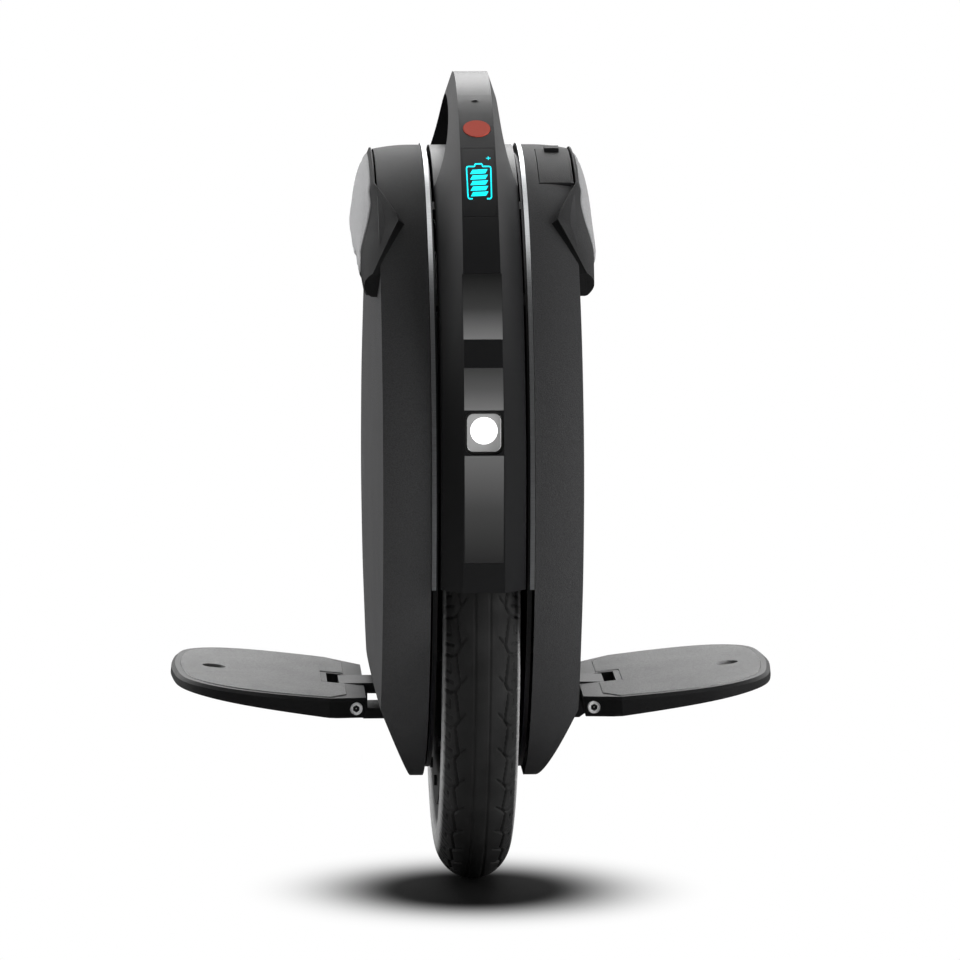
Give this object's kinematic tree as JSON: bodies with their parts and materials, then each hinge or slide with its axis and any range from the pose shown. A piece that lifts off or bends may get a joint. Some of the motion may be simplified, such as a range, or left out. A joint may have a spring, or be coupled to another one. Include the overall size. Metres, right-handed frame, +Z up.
{
  "type": "electric unicycle",
  "caption": "Self-balancing electric unicycle: a hub-motor wheel between round side shells, with an arched carry handle, leg pads and fold-up pedals.",
  "frame": {"origin": "on the ground under the wheel centre", "axes": "+Z up, -Y to the front, +X to the side with the charge port"},
  "size_m": [0.4008, 0.444, 0.5389],
  "materials": {
    "shell_plastic": "fine grained charcoal",
    "spine_plastic": "satin near-black",
    "gloss_black": "gloss black",
    "soft_touch": "pebbled soft touch",
    "pad_foam": "speckled foam skin",
    "trim_silver": "bright silver",
    "frame_metal": "dark anodised",
    "battery_wrap": "shrink wrap",
    "cast_alloy": "dark powder coat",
    "grip_tape": "gritty grip surface",
    "steel": "plain",
    "magnet": "nickel plated",
    "motor_alloy": "dark anodised",
    "tyre": "moulded tread",
    "tube_rubber": "smooth butyl",
    "core_steel": "laminated",
    "copper": "enamelled wire",
    "circuit": "solder mask",
    "socket_plastic": "moulded black",
    "button_red": "brick red",
    "lamp_glass": "clear",
    "lamp_white": "white emitter",
    "tail_red": "tinted red",
    "display_glass": "smoked"
  },
  "bodies": {
    "chassis": {"left_shell": "shell_plastic", "right_shell": "shell_plastic", "front_cover": "spine_plastic", "rear_cover": "spine_plastic", "deck_cover": "spine_plastic", "handle_grip": "spine_plastic", "wheel_arch": "spine_plastic", "upper_gloss_panel": "gloss_black", "middle_gloss_panel": "gloss_black", "lower_gloss_panel": "gloss_black", "headlight_bezel": "gloss_black", "left_pod": "soft_touch", "right_pod": "soft_touch", "left_leg_pad": "pad_foam", "right_leg_pad": "pad_foam", "left_trim_strip": "trim_silver", "right_trim_strip": "trim_silver", "left_side_frame": "frame_metal", "right_side_frame": "frame_metal", "left_battery_pack": "battery_wrap", "right_battery_pack": "battery_wrap", "left_pedal_hanger": "cast_alloy", "right_pedal_hanger": "cast_alloy", "axle": "steel", "axle_nuts": "steel", "hanger_bolts": "steel", "shell_screws": "steel", "grip_screws": "steel", "flap_pin": "steel", "heat_sink": "motor_alloy", "stator_core": "core_steel", "stator_windings": "copper", "control_board": "circuit", "display_board": "circuit", "button_switch": "circuit", "charge_socket": "socket_plastic", "headlight_lens": "lamp_glass", "headlight_lamp": "lamp_white", "tail_light_lens": "tail_red", "display_window": "display_glass"},
    "wheel": {"tyre": "tyre", "inner_tube": "tube_rubber", "rim": "motor_alloy", "valve_stem": "steel", "magnet_ring": "magnet", "hub_bearings": "steel", "left_motor_cover": "motor_alloy", "right_motor_cover": "motor_alloy", "cover_screws": "steel"},
    "left_pedal": {"left_pedal_plate": "cast_alloy", "left_grip_pad": "grip_tape", "left_hinge_pin": "steel", "left_hold_magnet": "magnet"},
    "right_pedal": {"right_pedal_plate": "cast_alloy", "right_grip_pad": "grip_tape", "right_hinge_pin": "steel", "right_hold_magnet": "magnet"},
    "power_button": {"power_button": "button_red"},
    "lift_paddle": {"lift_paddle": "socket_plastic"},
    "charge_flap": {"charge_flap": "soft_touch"}
  },
  "joints": [
    {"name": "wheel_spin", "type": "hinge", "parent": "chassis", "child": "wheel", "pos_m": [0, 0, 0.205], "axis": [1, 0, 0], "continuous": true},
    {"name": "left_pedal_fold", "type": "hinge", "parent": "chassis", "child": "left_pedal", "pos_m": [-0.0786, 0, 0.125], "axis": [0, 1, 0], "range_deg": [0, 81]},
    {"name": "right_pedal_fold", "type": "hinge", "parent": "chassis", "child": "right_pedal", "pos_m": [0.0786, 0, 0.125], "axis": [0, -1, 0], "range_deg": [0, 81]},
    {"name": "power_button_press", "type": "slide", "parent": "chassis", "child": "power_button", "axis": [0, 0.5089, -0.8608], "range_m": [0, 0.0012], "stiffness_N_per_m": 1500, "springref_m": -0.0005},
    {"name": "lift_paddle_squeeze", "type": "slide", "parent": "chassis", "child": "lift_paddle", "axis": [0, 0, 1], "range_m": [0, 0.002], "stiffness_N_per_m": 1500, "springref_m": -0.0008},
    {"name": "charge_flap_open", "type": "hinge", "parent": "chassis", "child": "charge_flap", "pos_m": [0.0525, -0.08054, 0.47253], "axis": [1, 0, 0], "range_deg": [0, 105]}
  ]
}
